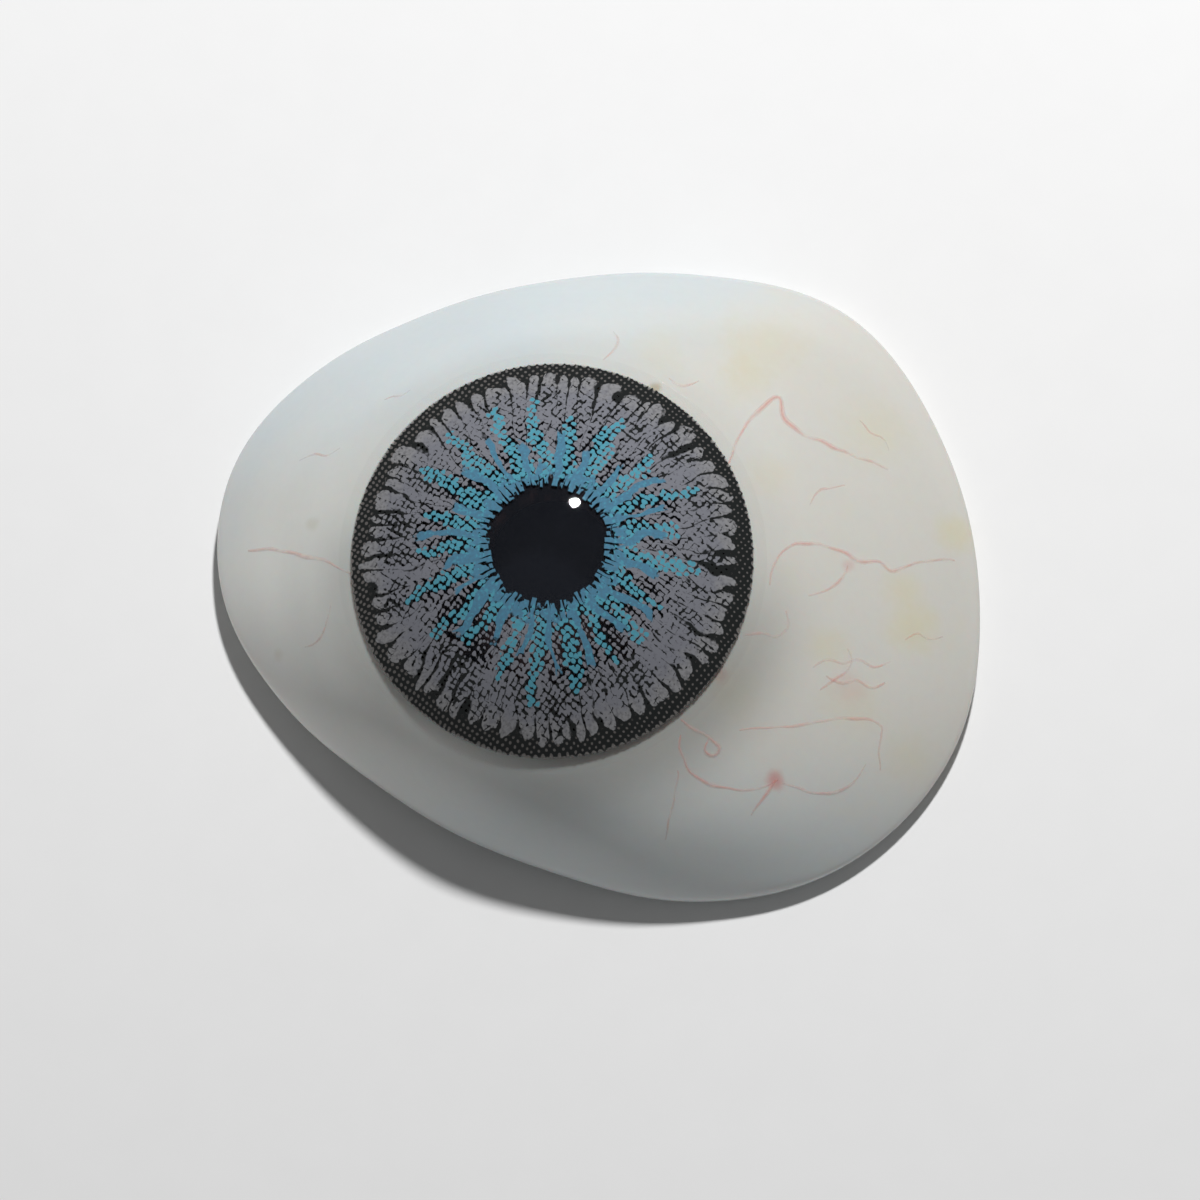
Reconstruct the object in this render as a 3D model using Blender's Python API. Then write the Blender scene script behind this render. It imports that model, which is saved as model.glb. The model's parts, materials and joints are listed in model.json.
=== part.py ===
"""An artificial eye, a white acrylic shell with a painted iris, that wears a printed soft contact lens.

It lies on the rim of its hollow back with the cornea up. +Z is the optical axis, +Y is the upper lid's
side and the origin is on the table under the middle of the outline. Metres.
"""

import math

import bpy
import bmesh

# The shell's outline, as its reach from the optical axis every 22.5 degrees from +X, counter-clockwise
RIM_REACHES = (
    0.01360,
    0.01335,
    0.01310,
    0.01145,
    0.01025,
    0.01020,
    0.01090,
    0.01155,
    0.01105,
    0.00975,
    0.00880,
    0.00875,
    0.00940,
    0.01110,
    0.01295,
    0.01385,
)

# White shell: its front is near round about the iris and falls to a rounded rim of uneven reach
SHELL_CROWN = 0.0073
SHELL_BEND = 0.0126
BACK_WALL = 0.0006
RIM_ROUND = 0.0006
LAND_WIDTH = 0.0005
EDGE_TURN = math.radians(30)

# The rim rises off the table in two arches, a long flat one along the lower left side and a short one above
LOWER_ARCH_RISE = 0.0006
LOWER_ARCH_MIDDLE = math.radians(224)
LOWER_ARCH_SPREAD = math.radians(76)
LOWER_ARCH_FULLNESS = 4
UPPER_ARCH_RISE = 0.0010
UPPER_ARCH_MIDDLE = math.radians(95)
UPPER_ARCH_SPREAD = math.radians(33)
UPPER_ARCH_FULLNESS = 2

# Clear corneal button and what lies under it
CORNEA_CROWN = 0.0084
LIMBUS_RADIUS = 0.0059
LIMBUS_FILLET = 0.0005
SEAT_DEPTH = 0.0007
SEAT_GAP = 0.00003
IRIS_MARGIN = 0.00012
IRIS_THICKNESS = 0.00035
PUPIL_RADIUS = 0.0020
PUPIL_DEPTH = 0.0002

# Soft contact lens, draped over the button and onto the white
LENS_RADIUS = 0.0070
LENS_THICKNESS = 0.0001
LENS_TAPER = 0.0003
LENS_GAP = 0.00004
LENS_FILLET = 0.0010

# Printed ink on the lens's front, in three levels of colour, one over the other
INK_THICKNESS = 0.00003
INK_GAP = 0.00004
GREY_INNER = 0.0023
GREY_OUTER = 0.0062
RING_OUTER = 0.0065
RING_TOOTH = 0.00013
RING_TEETH = 160
PETALS = 64
PETAL_TOP = 0.00605
PETAL_SHOULDER = 0.00585
WEDGE_TIP = 0.0053
WEDGE_SWAY = 0.0003
SWAY_TURN = 2.4
RAYS = 21
RAY_ROOT = 0.0026
RAY_VALLEY = 0.0028
RAY_TIP = 0.0043
RAY_SWAY = 0.00025
TONGUE_SHIFT = -0.5
TEAL_INNER = 0.0021
PUPIL_OPENING = 0.00187
STEEL_TOOTH = 0.00025
TONGUE_ROOT = 0.0024
TONGUE_VALLEY = 0.0025
TONGUE_TIP = 0.0034

# How finely the round forms are cut
COLUMNS = 64
FRONT_ROWS = 6
BACK_ROWS = 4
RIM_ROWS = 2
BUTTON_ROWS = 6
LENS_ROWS = 6
GREY_ROWS = 3
ROW_CROWDING = 1.3
STEP = 0.00001
SHARP_EDGE = math.radians(40)

# Shape of one petal: where each point stands in the pitch, and whether it lies at the wedge's tip,
# on the petal's shoulder or on its top
AT_WEDGE_TIP, AT_SHOULDER, AT_TOP = range(3)
PETAL_OUTLINE = (
    (0.0, AT_WEDGE_TIP),
    (0.13, AT_SHOULDER),
    (0.36, AT_TOP),
    (0.64, AT_TOP),
    (0.87, AT_SHOULDER),
)

# Shapes of one ray and one tongue: where each point stands in the pitch, and how far it reaches from
# the valley to the tip
RAY_OUTLINE = ((0.0, 0.0), (0.24, 0.15), (0.36, 0.75), (0.5, 1.0), (0.64, 0.75), (0.76, 0.15))
TONGUE_OUTLINE = ((0.0, 0.0), (0.22, 0.3), (0.38, 0.85), (0.5, 1.0), (0.62, 0.85), (0.78, 0.3))


def rim_reach(turn):
    """The outline's reach in one direction, on a smooth closed curve through the given reaches."""
    count = len(RIM_REACHES)
    place = turn / (2 * math.pi) * count
    first = math.floor(place)
    part = place - first
    before, start, end, after = (RIM_REACHES[(first + step) % count] for step in (-1, 0, 1, 2))
    start_slope = (end - before) / 2
    end_slope = (after - start) / 2
    return hermite(part, start, start_slope, end, end_slope)


def hermite(part, start, start_slope, end, end_slope):
    """A cubic from start to end, with its slopes per unit of part."""
    square = part * part
    cube = square * part
    return (
        (2 * cube - 3 * square + 1) * start
        + (cube - 2 * square + part) * start_slope
        + (3 * square - 2 * cube) * end
        + (cube - square) * end_slope
    )


def arch(turn, middle, spread, rise, fullness):
    """One smooth arch of the rim over the table. A larger fullness gives it a longer flat top."""
    away = abs((turn - middle + math.pi) % (2 * math.pi) - math.pi)
    if away >= spread:
        return 0.0
    return rise * (1 - (away / spread) ** fullness) ** 2


def rim_lift(turn):
    """The rim's height over the table in one direction."""
    lower = arch(turn, LOWER_ARCH_MIDDLE, LOWER_ARCH_SPREAD, LOWER_ARCH_RISE, LOWER_ARCH_FULLNESS)
    upper = arch(turn, UPPER_ARCH_MIDDLE, UPPER_ARCH_SPREAD, UPPER_ARCH_RISE, UPPER_ARCH_FULLNESS)
    return lower + upper


def arc_drop(radius, reach, depth):
    """How far an arc has fallen at a radius, if it falls by depth over its whole reach."""
    bend = (reach * reach + depth * depth) / (2 * depth)
    return bend - math.sqrt(bend * bend - radius * radius)


def rim_point(turn, tilt):
    """A point on the rim's round, where tilt is 0 at the widest line and a quarter turn down at the land."""
    radius = rim_reach(turn) - RIM_ROUND * (1 - math.cos(tilt))
    height = rim_lift(turn) + RIM_ROUND * (1 - math.sin(tilt))
    return radius, height


def sclera(radius, turn):
    """Height of the white's front, whose even bend about the iris passes into the arc that meets the rim."""
    reach, foot = rim_point(turn, -EDGE_TURN)
    even_drop = radius**2 / (2 * SHELL_BEND) + radius**4 / (8 * SHELL_BEND**3)
    rim_drop = arc_drop(radius, reach, SHELL_CROWN - foot)
    share = min(max((radius - LIMBUS_RADIUS) / (reach - LIMBUS_RADIUS), 0.0), 1.0)
    share *= share * (3 - 2 * share)
    return SHELL_CROWN - even_drop * (1 - share) - rim_drop * share


def cornea(radius, turn):
    """Height of the corneal arc, which meets the white's arc at the limbus."""
    depth = CORNEA_CROWN - sclera(LIMBUS_RADIUS, turn)
    return CORNEA_CROWN - arc_drop(radius, LIMBUS_RADIUS, depth)


def front(radius, turn, fillet):
    """Height of the whole front, with the limbus filled by a smooth hollow of the given half width."""
    inner = LIMBUS_RADIUS - fillet
    outer = LIMBUS_RADIUS + fillet
    if radius <= inner:
        return cornea(radius, turn)
    if radius >= outer:
        return sclera(radius, turn)
    width = outer - inner
    inner_height = cornea(inner, turn)
    outer_height = sclera(outer, turn)
    inner_slope = (inner_height - cornea(inner - STEP, turn)) / STEP * width
    outer_slope = (sclera(outer + STEP, turn) - outer_height) / STEP * width
    return hermite((radius - inner) / width, inner_height, inner_slope, outer_height, outer_slope)


def eye_front(radius, turn):
    """Height of the acrylic's front."""
    return front(radius, turn, LIMBUS_FILLET)


def draped(radius, turn, offset):
    """Height of a skin that follows the front, offset square to it."""
    height = front(radius, turn, LENS_FILLET)
    slope = (front(radius + STEP, turn, LENS_FILLET) - height) / STEP
    return height + offset * math.hypot(1, slope)


def seat_height():
    """Height of the pocket's floor, which lies a set depth under the limbus."""
    return sclera(LIMBUS_RADIUS, 0.0) - SEAT_DEPTH


def back_crown():
    """Height of the hollow back's middle, one wall under the pocket's floor."""
    return seat_height() - BACK_WALL


def back(radius, turn):
    """Height of the hollow back, which falls to the land's inner edge."""
    reach = rim_reach(turn) - RIM_ROUND - LAND_WIDTH
    return back_crown() - arc_drop(radius, reach, back_crown() - rim_lift(turn))


def column_turns(count):
    """Evenly spaced directions around the optical axis."""
    return [2 * math.pi * column / count for column in range(count)]


def axis_place():
    """Where the optical axis stands, so that the origin is under the middle of the outline."""
    turns = column_turns(COLUMNS)
    across = [rim_reach(turn) * math.cos(turn) for turn in turns]
    along = [rim_reach(turn) * math.sin(turn) for turn in turns]
    return -(min(across) + max(across)) / 2, -(min(along) + max(along)) / 2, 0.0


def ring(mesh, points):
    """Adds one ring of vertices, given as radius, direction and height."""
    vertices = []
    for radius, turn, height in points:
        vertices.append(mesh.verts.new((radius * math.cos(turn), radius * math.sin(turn), height)))
    return vertices


def level_ring(mesh, radius, height):
    """Adds a flat round ring."""
    return ring(mesh, [(radius, turn, height) for turn in column_turns(COLUMNS)])


def surface_ring(mesh, radius, surface):
    """Adds a round ring that lies on a surface."""
    return ring(mesh, [(radius, turn, surface(radius, turn)) for turn in column_turns(COLUMNS)])


def pole(mesh, height):
    """Adds one point on the optical axis."""
    return [mesh.verts.new((0.0, 0.0, height))]


def join_rings(mesh, first, second):
    """Fills the band between two rings. One may be a pole or have several times the other's points."""
    count = max(len(first), len(second))

    def corner(points, step):
        return points[(step * len(points) + count // 2) // count % len(points)]

    for step in range(count):
        near = (corner(first, step), corner(second, step))
        far = (corner(second, step + 1), corner(first, step + 1))
        mesh.faces.new(dict.fromkeys(near + far))


def skin_over(mesh, rings):
    """Joins a run of rings, each to the next."""
    for first, second in zip(rings, rings[1:]):
        join_rings(mesh, first, second)


def finish(mesh, name, material):
    """Turns the mesh into a named object that stands on the optical axis."""
    data = bpy.data.meshes.new(name)
    mesh.to_mesh(data)
    mesh.free()
    data.materials.append(material)
    data.shade_smooth()
    data.set_sharp_from_angle(angle=SHARP_EDGE)
    piece = bpy.data.objects.new(name, data)
    piece.location = axis_place()
    bpy.context.scene.collection.objects.link(piece)
    return piece


def plain_material(name, colour, roughness, alpha=1.0, ior=1.49):
    """A Principled material with one colour."""
    material = bpy.data.materials.new(name)
    material.use_nodes = True
    shader = material.node_tree.nodes["Principled BSDF"]
    shader.inputs["Base Color"].default_value = (*colour, 1.0)
    shader.inputs["Roughness"].default_value = roughness
    shader.inputs["Metallic"].default_value = 0.0
    shader.inputs["Alpha"].default_value = alpha
    shader.inputs["IOR"].default_value = ior
    return material


def scleral_shell():
    """The white shell: a pocket for the iris, a domed front, a rounded rim, a land and a hollow back."""
    mesh = bmesh.new()
    pocket = LIMBUS_RADIUS + SEAT_GAP
    turns = column_turns(COLUMNS)

    def front_row(share):
        points = []
        for turn in turns:
            edge = rim_point(turn, -EDGE_TURN)[0]
            radius = pocket + (edge - pocket) * share
            points.append((radius, turn, eye_front(radius, turn)))
        return ring(mesh, points)

    def rim_row(tilt):
        points = []
        for turn in turns:
            radius, height = rim_point(turn, tilt)
            points.append((radius, turn, height))
        return ring(mesh, points)

    def back_row(share):
        points = []
        for turn in turns:
            radius = (rim_reach(turn) - RIM_ROUND - LAND_WIDTH) * share
            points.append((radius, turn, back(radius, turn)))
        return ring(mesh, points)

    rings = [pole(mesh, seat_height()), level_ring(mesh, pocket, seat_height())]
    rings += [front_row((row / FRONT_ROWS) ** ROW_CROWDING) for row in range(FRONT_ROWS + 1)]
    rings += [rim_row(math.pi / 2 * row / RIM_ROWS) for row in range(RIM_ROWS + 1)]
    rings += [back_row(1 - row / BACK_ROWS) for row in range(BACK_ROWS)]
    rings += [pole(mesh, back_crown())]
    skin_over(mesh, rings)
    return finish(mesh, "scleral_shell", plain_material("white acrylic", (0.66, 0.65, 0.62), 0.3))


def iris_disc():
    """The brown painted disc in the pocket, with a shallow round recess for the pupil."""
    mesh = bmesh.new()
    bottom = seat_height() + SEAT_GAP
    top = bottom + IRIS_THICKNESS
    floor = top - PUPIL_DEPTH
    edge = LIMBUS_RADIUS - IRIS_MARGIN
    rings = [pole(mesh, floor), level_ring(mesh, PUPIL_RADIUS, floor), level_ring(mesh, PUPIL_RADIUS, top)]
    rings += [level_ring(mesh, edge, top), level_ring(mesh, edge, bottom), pole(mesh, bottom)]
    skin_over(mesh, rings)
    return finish(mesh, "iris_disc", plain_material("brown paint", (0.035, 0.012, 0.007), 0.5))


def pupil_disc():
    """The black disc that fills the recess in the iris."""
    mesh = bmesh.new()
    top = seat_height() + SEAT_GAP + IRIS_THICKNESS
    bottom = top - PUPIL_DEPTH + SEAT_GAP
    edge = PUPIL_RADIUS - SEAT_GAP
    rings = [pole(mesh, top), level_ring(mesh, edge, top), level_ring(mesh, edge, bottom), pole(mesh, bottom)]
    skin_over(mesh, rings)
    return finish(mesh, "pupil_disc", plain_material("black paint", (0.004, 0.004, 0.005), 0.5))


def corneal_button():
    """The clear dome over the iris, flush with the white at the limbus."""
    mesh = bmesh.new()
    base = seat_height() + SEAT_GAP + IRIS_THICKNESS + SEAT_GAP
    rings = [pole(mesh, CORNEA_CROWN)]
    for row in range(BUTTON_ROWS):
        rings.append(surface_ring(mesh, LIMBUS_RADIUS * (row + 1) / BUTTON_ROWS, eye_front))
    rings += [level_ring(mesh, LIMBUS_RADIUS, base), pole(mesh, base)]
    skin_over(mesh, rings)
    return finish(mesh, "corneal_button", plain_material("clear acrylic", (0.9, 0.92, 0.92), 0.1, alpha=0.15))


def contact_lens():
    """The soft lens, a thin bowl with a tapered edge that takes the eye's form."""
    mesh = bmesh.new()
    rows = [(LENS_RADIUS - LENS_TAPER) * (row + 1) / LENS_ROWS for row in range(LENS_ROWS)]

    def outside(radius, turn):
        return draped(radius, turn, LENS_GAP + LENS_THICKNESS)

    def middle(radius, turn):
        return draped(radius, turn, LENS_GAP + LENS_THICKNESS / 2)

    def inside(radius, turn):
        return draped(radius, turn, LENS_GAP)

    rings = [pole(mesh, outside(0.0, 0.0))]
    rings += [surface_ring(mesh, radius, outside) for radius in rows]
    rings += [surface_ring(mesh, LENS_RADIUS, middle)]
    rings += [surface_ring(mesh, radius, inside) for radius in reversed(rows)]
    rings += [pole(mesh, inside(0.0, 0.0))]
    skin_over(mesh, rings)
    material = plain_material("hydrogel", (0.75, 0.82, 0.85), 0.15, alpha=0.25, ior=1.41)
    return finish(mesh, "contact_lens", material)


def ink_skin(name, level, outlines, material):
    """A thin printed field between its first and last outline, draped over the lens on its own level."""
    mesh = bmesh.new()
    under = LENS_GAP + LENS_THICKNESS + INK_GAP + level * (INK_THICKNESS + INK_GAP)

    def laid(line, offset):
        return ring(mesh, [(radius, turn, draped(radius, turn, offset)) for radius, turn in line])

    tops = [laid(line, under + INK_THICKNESS) for line in outlines]
    bottoms = [laid(line, under) for line in reversed(outlines)]
    skin_over(mesh, tops + bottoms + tops[:1])
    return finish(mesh, name, material)


def circle_line(radius, count):
    """A round outline."""
    return [(radius, turn) for turn in column_turns(count)]


def toothed_line(outer, depth, count):
    """A round outline whose points step in and out."""
    return [(outer - depth * (step % 2), turn) for step, turn in enumerate(column_turns(count))]


def repeated_line(shape, count, valley, tip, sway, shift=0.0):
    """An outline that repeats one shape round the axis, with tips that differ a little in length."""
    line = []
    for number in range(count):
        reach = tip + sway * math.sin(SWAY_TURN * number)
        for place, share in shape:
            line.append((valley + (reach - valley) * share, 2 * math.pi * (number + place + shift) / count))
    return line


def petal_line():
    """The black ring's inner edge: round petal tops with a narrow wedge of black between each two."""
    line = []
    for number in range(PETALS):
        tip = WEDGE_TIP + WEDGE_SWAY * math.sin(SWAY_TURN * number)
        radii = (tip, PETAL_SHOULDER, PETAL_TOP)
        for place, level in PETAL_OUTLINE:
            line.append((radii[level], 2 * math.pi * (number + place) / PETALS))
    return line


def halfway(first, second):
    """The outline midway between two that have the same number of points."""
    return [((near[0] + far[0]) / 2, (near[1] + far[1]) / 2) for near, far in zip(first, second)]


def grey_field():
    """The grey ground of the print, from behind the teeth of blue to under the black ring."""
    reaches = [GREY_INNER + (GREY_OUTER - GREY_INNER) * row / GREY_ROWS for row in range(GREY_ROWS + 1)]
    outlines = [circle_line(radius, COLUMNS) for radius in reaches]
    return ink_skin("grey_field", 0, outlines, plain_material("grey ink", (0.27, 0.27, 0.29), 0.5))


def limbal_ring():
    """The black ring, with a scalloped outer edge and black wedges between the grey petals."""
    outlines = [petal_line(), toothed_line(RING_OUTER, RING_TOOTH, 2 * RING_TEETH)]
    return ink_skin("limbal_ring", 1, outlines, plain_material("black ink", (0.010, 0.012, 0.012), 0.5))


def teal_rays():
    """The star of long teal rays."""
    tips = repeated_line(RAY_OUTLINE, RAYS, RAY_VALLEY, RAY_TIP, RAY_SWAY)
    roots = [(RAY_ROOT, turn) for radius, turn in tips]
    outlines = [circle_line(TEAL_INNER, 2 * RAYS), circle_line(RAY_ROOT, 2 * RAYS)]
    outlines += [halfway(roots, tips), tips]
    return ink_skin("teal_rays", 1, outlines, plain_material("teal ink", (0.08, 0.34, 0.46), 0.5))


def steel_blue_rays():
    """The star of short blue tongues between the rays, toothed round the pupil."""
    tips = repeated_line(TONGUE_OUTLINE, RAYS, TONGUE_VALLEY, TONGUE_TIP, RAY_SWAY, TONGUE_SHIFT)
    roots = [(TONGUE_ROOT, turn) for radius, turn in tips]
    teeth = []
    for step, (radius, turn) in enumerate(tips):
        teeth.append((PUPIL_OPENING + STEEL_TOOTH * (step % 2), turn))
    material = plain_material("blue ink", (0.07, 0.22, 0.38), 0.5)
    return ink_skin("steel_blue_rays", 2, [teeth, roots, tips], material)


def main():
    for leftover in list(bpy.data.objects):
        bpy.data.objects.remove(leftover)
    prosthesis = bpy.data.objects.new("prosthesis", None)
    bpy.context.scene.collection.objects.link(prosthesis)
    pieces = [scleral_shell(), iris_disc(), pupil_disc(), corneal_button(), contact_lens()]
    pieces += [grey_field(), limbal_ring(), teal_rays(), steel_blue_rays()]
    for piece in pieces:
        piece.parent = prosthesis


main()
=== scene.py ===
import json
import math

import bpy
from bpy.props import FloatProperty, FloatVectorProperty, IntProperty, PointerProperty
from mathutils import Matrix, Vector

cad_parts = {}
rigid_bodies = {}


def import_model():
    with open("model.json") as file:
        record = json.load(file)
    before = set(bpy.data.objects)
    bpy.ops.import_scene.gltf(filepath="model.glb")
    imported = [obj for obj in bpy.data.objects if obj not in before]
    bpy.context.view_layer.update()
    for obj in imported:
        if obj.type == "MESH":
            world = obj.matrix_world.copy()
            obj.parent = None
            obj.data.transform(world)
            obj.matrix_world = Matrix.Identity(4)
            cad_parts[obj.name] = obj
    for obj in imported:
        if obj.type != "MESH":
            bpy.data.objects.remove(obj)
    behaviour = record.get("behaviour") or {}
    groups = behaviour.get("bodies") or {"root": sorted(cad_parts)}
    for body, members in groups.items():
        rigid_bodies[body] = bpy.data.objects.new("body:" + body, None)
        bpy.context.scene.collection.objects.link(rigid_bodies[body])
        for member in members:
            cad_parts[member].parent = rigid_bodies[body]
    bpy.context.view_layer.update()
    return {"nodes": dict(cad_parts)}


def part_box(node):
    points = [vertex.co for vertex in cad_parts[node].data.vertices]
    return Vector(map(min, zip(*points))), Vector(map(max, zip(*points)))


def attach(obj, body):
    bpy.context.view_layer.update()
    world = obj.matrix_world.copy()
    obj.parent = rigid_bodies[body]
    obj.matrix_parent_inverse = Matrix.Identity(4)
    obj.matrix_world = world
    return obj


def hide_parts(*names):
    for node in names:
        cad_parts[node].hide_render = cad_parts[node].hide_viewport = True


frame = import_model()

bl_info = {
    "name": "Prosthetic Eye with Printed Lens",
    "version": (1, 0, 0),
    "blender": (4, 5, 0),
    "location": "View3D > Sidebar > Prosthetic Eye",
    "description": "Dresses an artificial eye shell that wears a soft contact lens with a printed iris",
    "category": "Object",
}

MILLIMETRE = 0.001

# The picture that the camera is set for is as wide as it is high
PICTURE_PIXELS = 1200

# The optical axis stands where the iris disc is
IRIS_LOW, IRIS_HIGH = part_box("iris_disc")
AXIS_X = (IRIS_LOW.x + IRIS_HIGH.x) / 2
AXIS_Y = (IRIS_LOW.y + IRIS_HIGH.y) / 2
LENS_LOW, LENS_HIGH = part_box("contact_lens")
APEX = Vector((AXIS_X, AXIS_Y, LENS_HIGH.z))

# Corners of a CAD node's triangles that are nearer than this are one corner
MERGE_DISTANCE = 1e-6
# The shell's rim rests on a flat land, whose corners are no higher than this
LAND_HEIGHT = 1e-5

# Where the camera aims, from the middle of the lens's foot
AIM_RIGHT = 0.0015
AIM_DOWN = 0.00112
# How much of the way to the lamp goes right, up and toward the camera
LAMP_RIGHT, LAMP_UP, LAMP_NEAR = 0.1048, 0.693, 0.713
# How bright the backdrop looks past the table
BACKDROP = 0.84
TABLE_WIDTH = 2

# Where shade is painted on the white beside the lens, as bearings from the optical axis
LOWER_SHADE = math.radians(305)
LEFT_SHADE = math.radians(200)

# Veins this bold are bold threads, and the others are faint ones
BOLD = 0.75
# How much of its radius a thread is sunk in the white
SUNK = 0.75

# The dome looks this dark where it hides what is under it, and the pupil's paint where it is cloudy
DOME_SHADE = (0.019, 0.022, 0.031)
PUPIL_CLOUD = (0.006, 0.004, 0.004)

# How far the print's nets of dots are turned and bent, and how uneven each one is
NET_TURN = math.radians(53)
NET_BEND = 0.3
GROUND_UNEVENNESS = 0.42
RING_UNEVENNESS = 0.10

# The print's circles, as radii in millimetres
TEAL_START = 2.04
GREY_START = 2.30
BLUE_GROUND_END = 2.42
BLACK_START = 4.35
WEDGE_BASE = 6.1
HOLES_START = 5.95
HOLES_WIDEN = 6.48
BLACK_END = 6.60
# where the painted glint on the lens's rim begins
RIM_GLINT_START = 6.87
LENS_EDGE = 6.96
# Between these circles, what shows between the inks is veiled by painted tones: painted shade in the ring's
# holes
VEIL_START, VEIL_END = 5.77, 6.45

# Tones of the print beside its four inks: the holes' tones are painted shade, and the rim's is a painted
# glint
BETWEEN_INKS = (0.03, 0.03, 0.03)
HOLES_PAINTED_SHADE = (0.15, 0.14, 0.135)
WIDE_HOLES_PAINTED_SHADE = (0.26, 0.25, 0.24)
RIM_PAINTED_GLINT = (0.80, 0.82, 0.82)
PETAL_GREYS = (0.20, 0.20, 0.205), (0.25, 0.25, 0.26)
DARK_GREY = (0.11, 0.11, 0.13)
DARK_TEAL = (0.085, 0.24, 0.31)
DARK_BLUE = (0.075, 0.17, 0.24)

# How much of the map's width the lens takes up
MAP_FILLED = 0.98

# Veins on the white: how bold each is, and its way in pixels of the picture
VEINS = (
    (1.0, ((728, 465), (735, 445), (747, 424), (758, 412), (777, 397), (783, 415), (800, 432), (822, 443),
           (845, 452), (866, 460), (888, 470))),
    (1.0, ((770, 585), (771, 572), (776, 560), (786, 549), (800, 543), (822, 546), (842, 552), (862, 561),
           (880, 562), (890, 572), (904, 567), (920, 562), (938, 560), (954, 561))),
    (0.8, ((848, 565), (843, 576), (835, 585), (823, 592), (810, 595))),
    (0.5, ((810, 505), (813, 497), (820, 490), (832, 488), (845, 485))),
    (0.6, ((614, 331), (617, 338), (616, 345), (611, 353), (603, 360))),
    (0.7, ((668, 378), (680, 386), (690, 385), (700, 380))),
    (0.7, ((745, 635), (760, 634), (775, 637), (785, 631), (790, 622), (786, 611))),
    (0.7, ((812, 668), (826, 660), (842, 664), (858, 659), (874, 667), (890, 662))),
    (0.8, ((820, 690), (834, 680), (846, 672), (852, 661), (848, 648))),
    (0.6, ((826, 676), (842, 684), (858, 680), (872, 688), (886, 682))),
    (0.7, ((740, 730), (768, 728), (800, 725), (825, 721), (850, 718), (872, 720), (881, 727), (880, 735),
           (879, 752), (881, 770))),
    (0.8, ((680, 720), (692, 729), (703, 735), (713, 740), (720, 748), (714, 756), (705, 750), (707, 740))),
    (0.8, ((680, 735), (679, 745), (681, 755), (689, 769), (705, 782), (726, 789), (750, 790), (766, 786),
           (778, 780))),
    (1.0, ((775, 780), (770, 789), (763, 798), (757, 806), (752, 815))),
    (0.7, ((783, 783), (800, 790), (815, 793), (830, 793), (846, 788), (857, 778), (865, 765))),
    (0.4, ((678, 770), (675, 792), (671, 815), (665, 840))),
    (0.7, ((248, 551), (268, 550), (290, 552), (303, 556), (315, 558), (334, 566), (350, 574))),
    (0.5, ((305, 647), (312, 645), (318, 640), (326, 625), (331, 605))),
    (0.5, ((384, 400), (392, 397), (401, 396), (410, 390))),
    (0.5, ((300, 460), (313, 455), (326, 456), (340, 448))),
    (0.4, ((700, 520), (712, 512), (716, 500), (728, 492))),
    (0.5, ((905, 640), (917, 634), (930, 640), (944, 636))),
    (0.5, ((860, 420), (868, 432), (882, 438), (890, 450))),
)

# Yellowed patches of the white: pixels across and down, half width in millimetres, strength
YELLOW_PATCHES = (
    (766, 347, 1.5, 0.5), (745, 380, 0.9, 0.45), (875, 430, 1.3, 0.45), (770, 475, 0.8, 0.4),
    (957, 533, 0.7, 1.0), (905, 590, 0.7, 0.8), (913, 625, 0.9, 1.0), (826, 646, 0.7, 0.6),
    (856, 706, 1.0, 0.4), (908, 756, 0.9, 0.35), (660, 350, 1.0, 0.3), (730, 690, 0.9, 0.35),
)
# Small spots, given in the same way
BROWN_SPOTS = ((312, 524, 0.25, 0.2), (278, 655, 0.22, 0.2), (655, 388, 0.2, 0.7), (725, 640, 0.3, 0.35))
RED_SPOTS = ((848, 565, 0.22, 0.35), (775, 780, 0.33, 0.8), (720, 675, 0.3, 0.3), (850, 688, 0.6, 0.16))


# Shader maths


class Value:
    """A number or a colour that varies over a surface. Python's operators on it add Math nodes."""

    def __init__(self, tree, socket):
        self.tree = tree
        self.socket = socket

    def math(self, operation, *others):
        """A Math node where this value comes first."""
        inputs = dict(enumerate((self, *others)))
        return node(self.tree, "ShaderNodeMath", {"operation": operation}, inputs)

    def after(self, operation, other):
        """A Math node where this value comes second."""
        return node(self.tree, "ShaderNodeMath", {"operation": operation}, {0: other, 1: self})

    def __add__(self, other):
        return self.math("ADD", other)

    def __radd__(self, other):
        return self.after("ADD", other)

    def __sub__(self, other):
        return self.math("SUBTRACT", other)

    def __rsub__(self, other):
        return self.after("SUBTRACT", other)

    def __mul__(self, other):
        return self.math("MULTIPLY", other)

    def __rmul__(self, other):
        return self.after("MULTIPLY", other)

    def __truediv__(self, other):
        return self.math("DIVIDE", other)

    def __rtruediv__(self, other):
        return self.after("DIVIDE", other)

    def __pow__(self, other):
        return self.math("POWER", other)

    def __mod__(self, other):
        return self.math("FLOORED_MODULO", other)

    def __abs__(self):
        return self.math("ABSOLUTE")

    def between(self, low, high):
        """This value held between two limits."""
        return node(self.tree, "ShaderNodeClamp", {}, {"Value": self, "Min": low, "Max": high})

    def least(self, other):
        return self.math("MINIMUM", other)

    def most(self, other):
        return self.math("MAXIMUM", other)

    def rising(self, start, end):
        """0 up to start, 1 from end on, and smooth between them."""
        inputs = {"Value": self, "From Min": start, "From Max": end}
        return node(self.tree, "ShaderNodeMapRange", {"interpolation_type": "SMOOTHSTEP"}, inputs)

    def falling(self, start, end):
        """1 up to start, 0 from end on, and smooth between them."""
        return 1 - self.rising(start, end)


def node(tree, kind, settings=None, inputs=None, output=0):
    """A node with its settings and its sockets' values or links. Returns the output asked for."""
    made = tree.nodes.new(kind)
    for name, value in (settings or {}).items():
        setattr(made, name, value)
    for name, value in (inputs or {}).items():
        if isinstance(value, Value):
            tree.links.new(value.socket, made.inputs[name])
        elif isinstance(value, (tuple, list)) and made.inputs[name].type == "RGBA":
            made.inputs[name].default_value = (*value[:3], 1)
        else:
            made.inputs[name].default_value = value
    return Value(tree, made.outputs[output])


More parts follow.
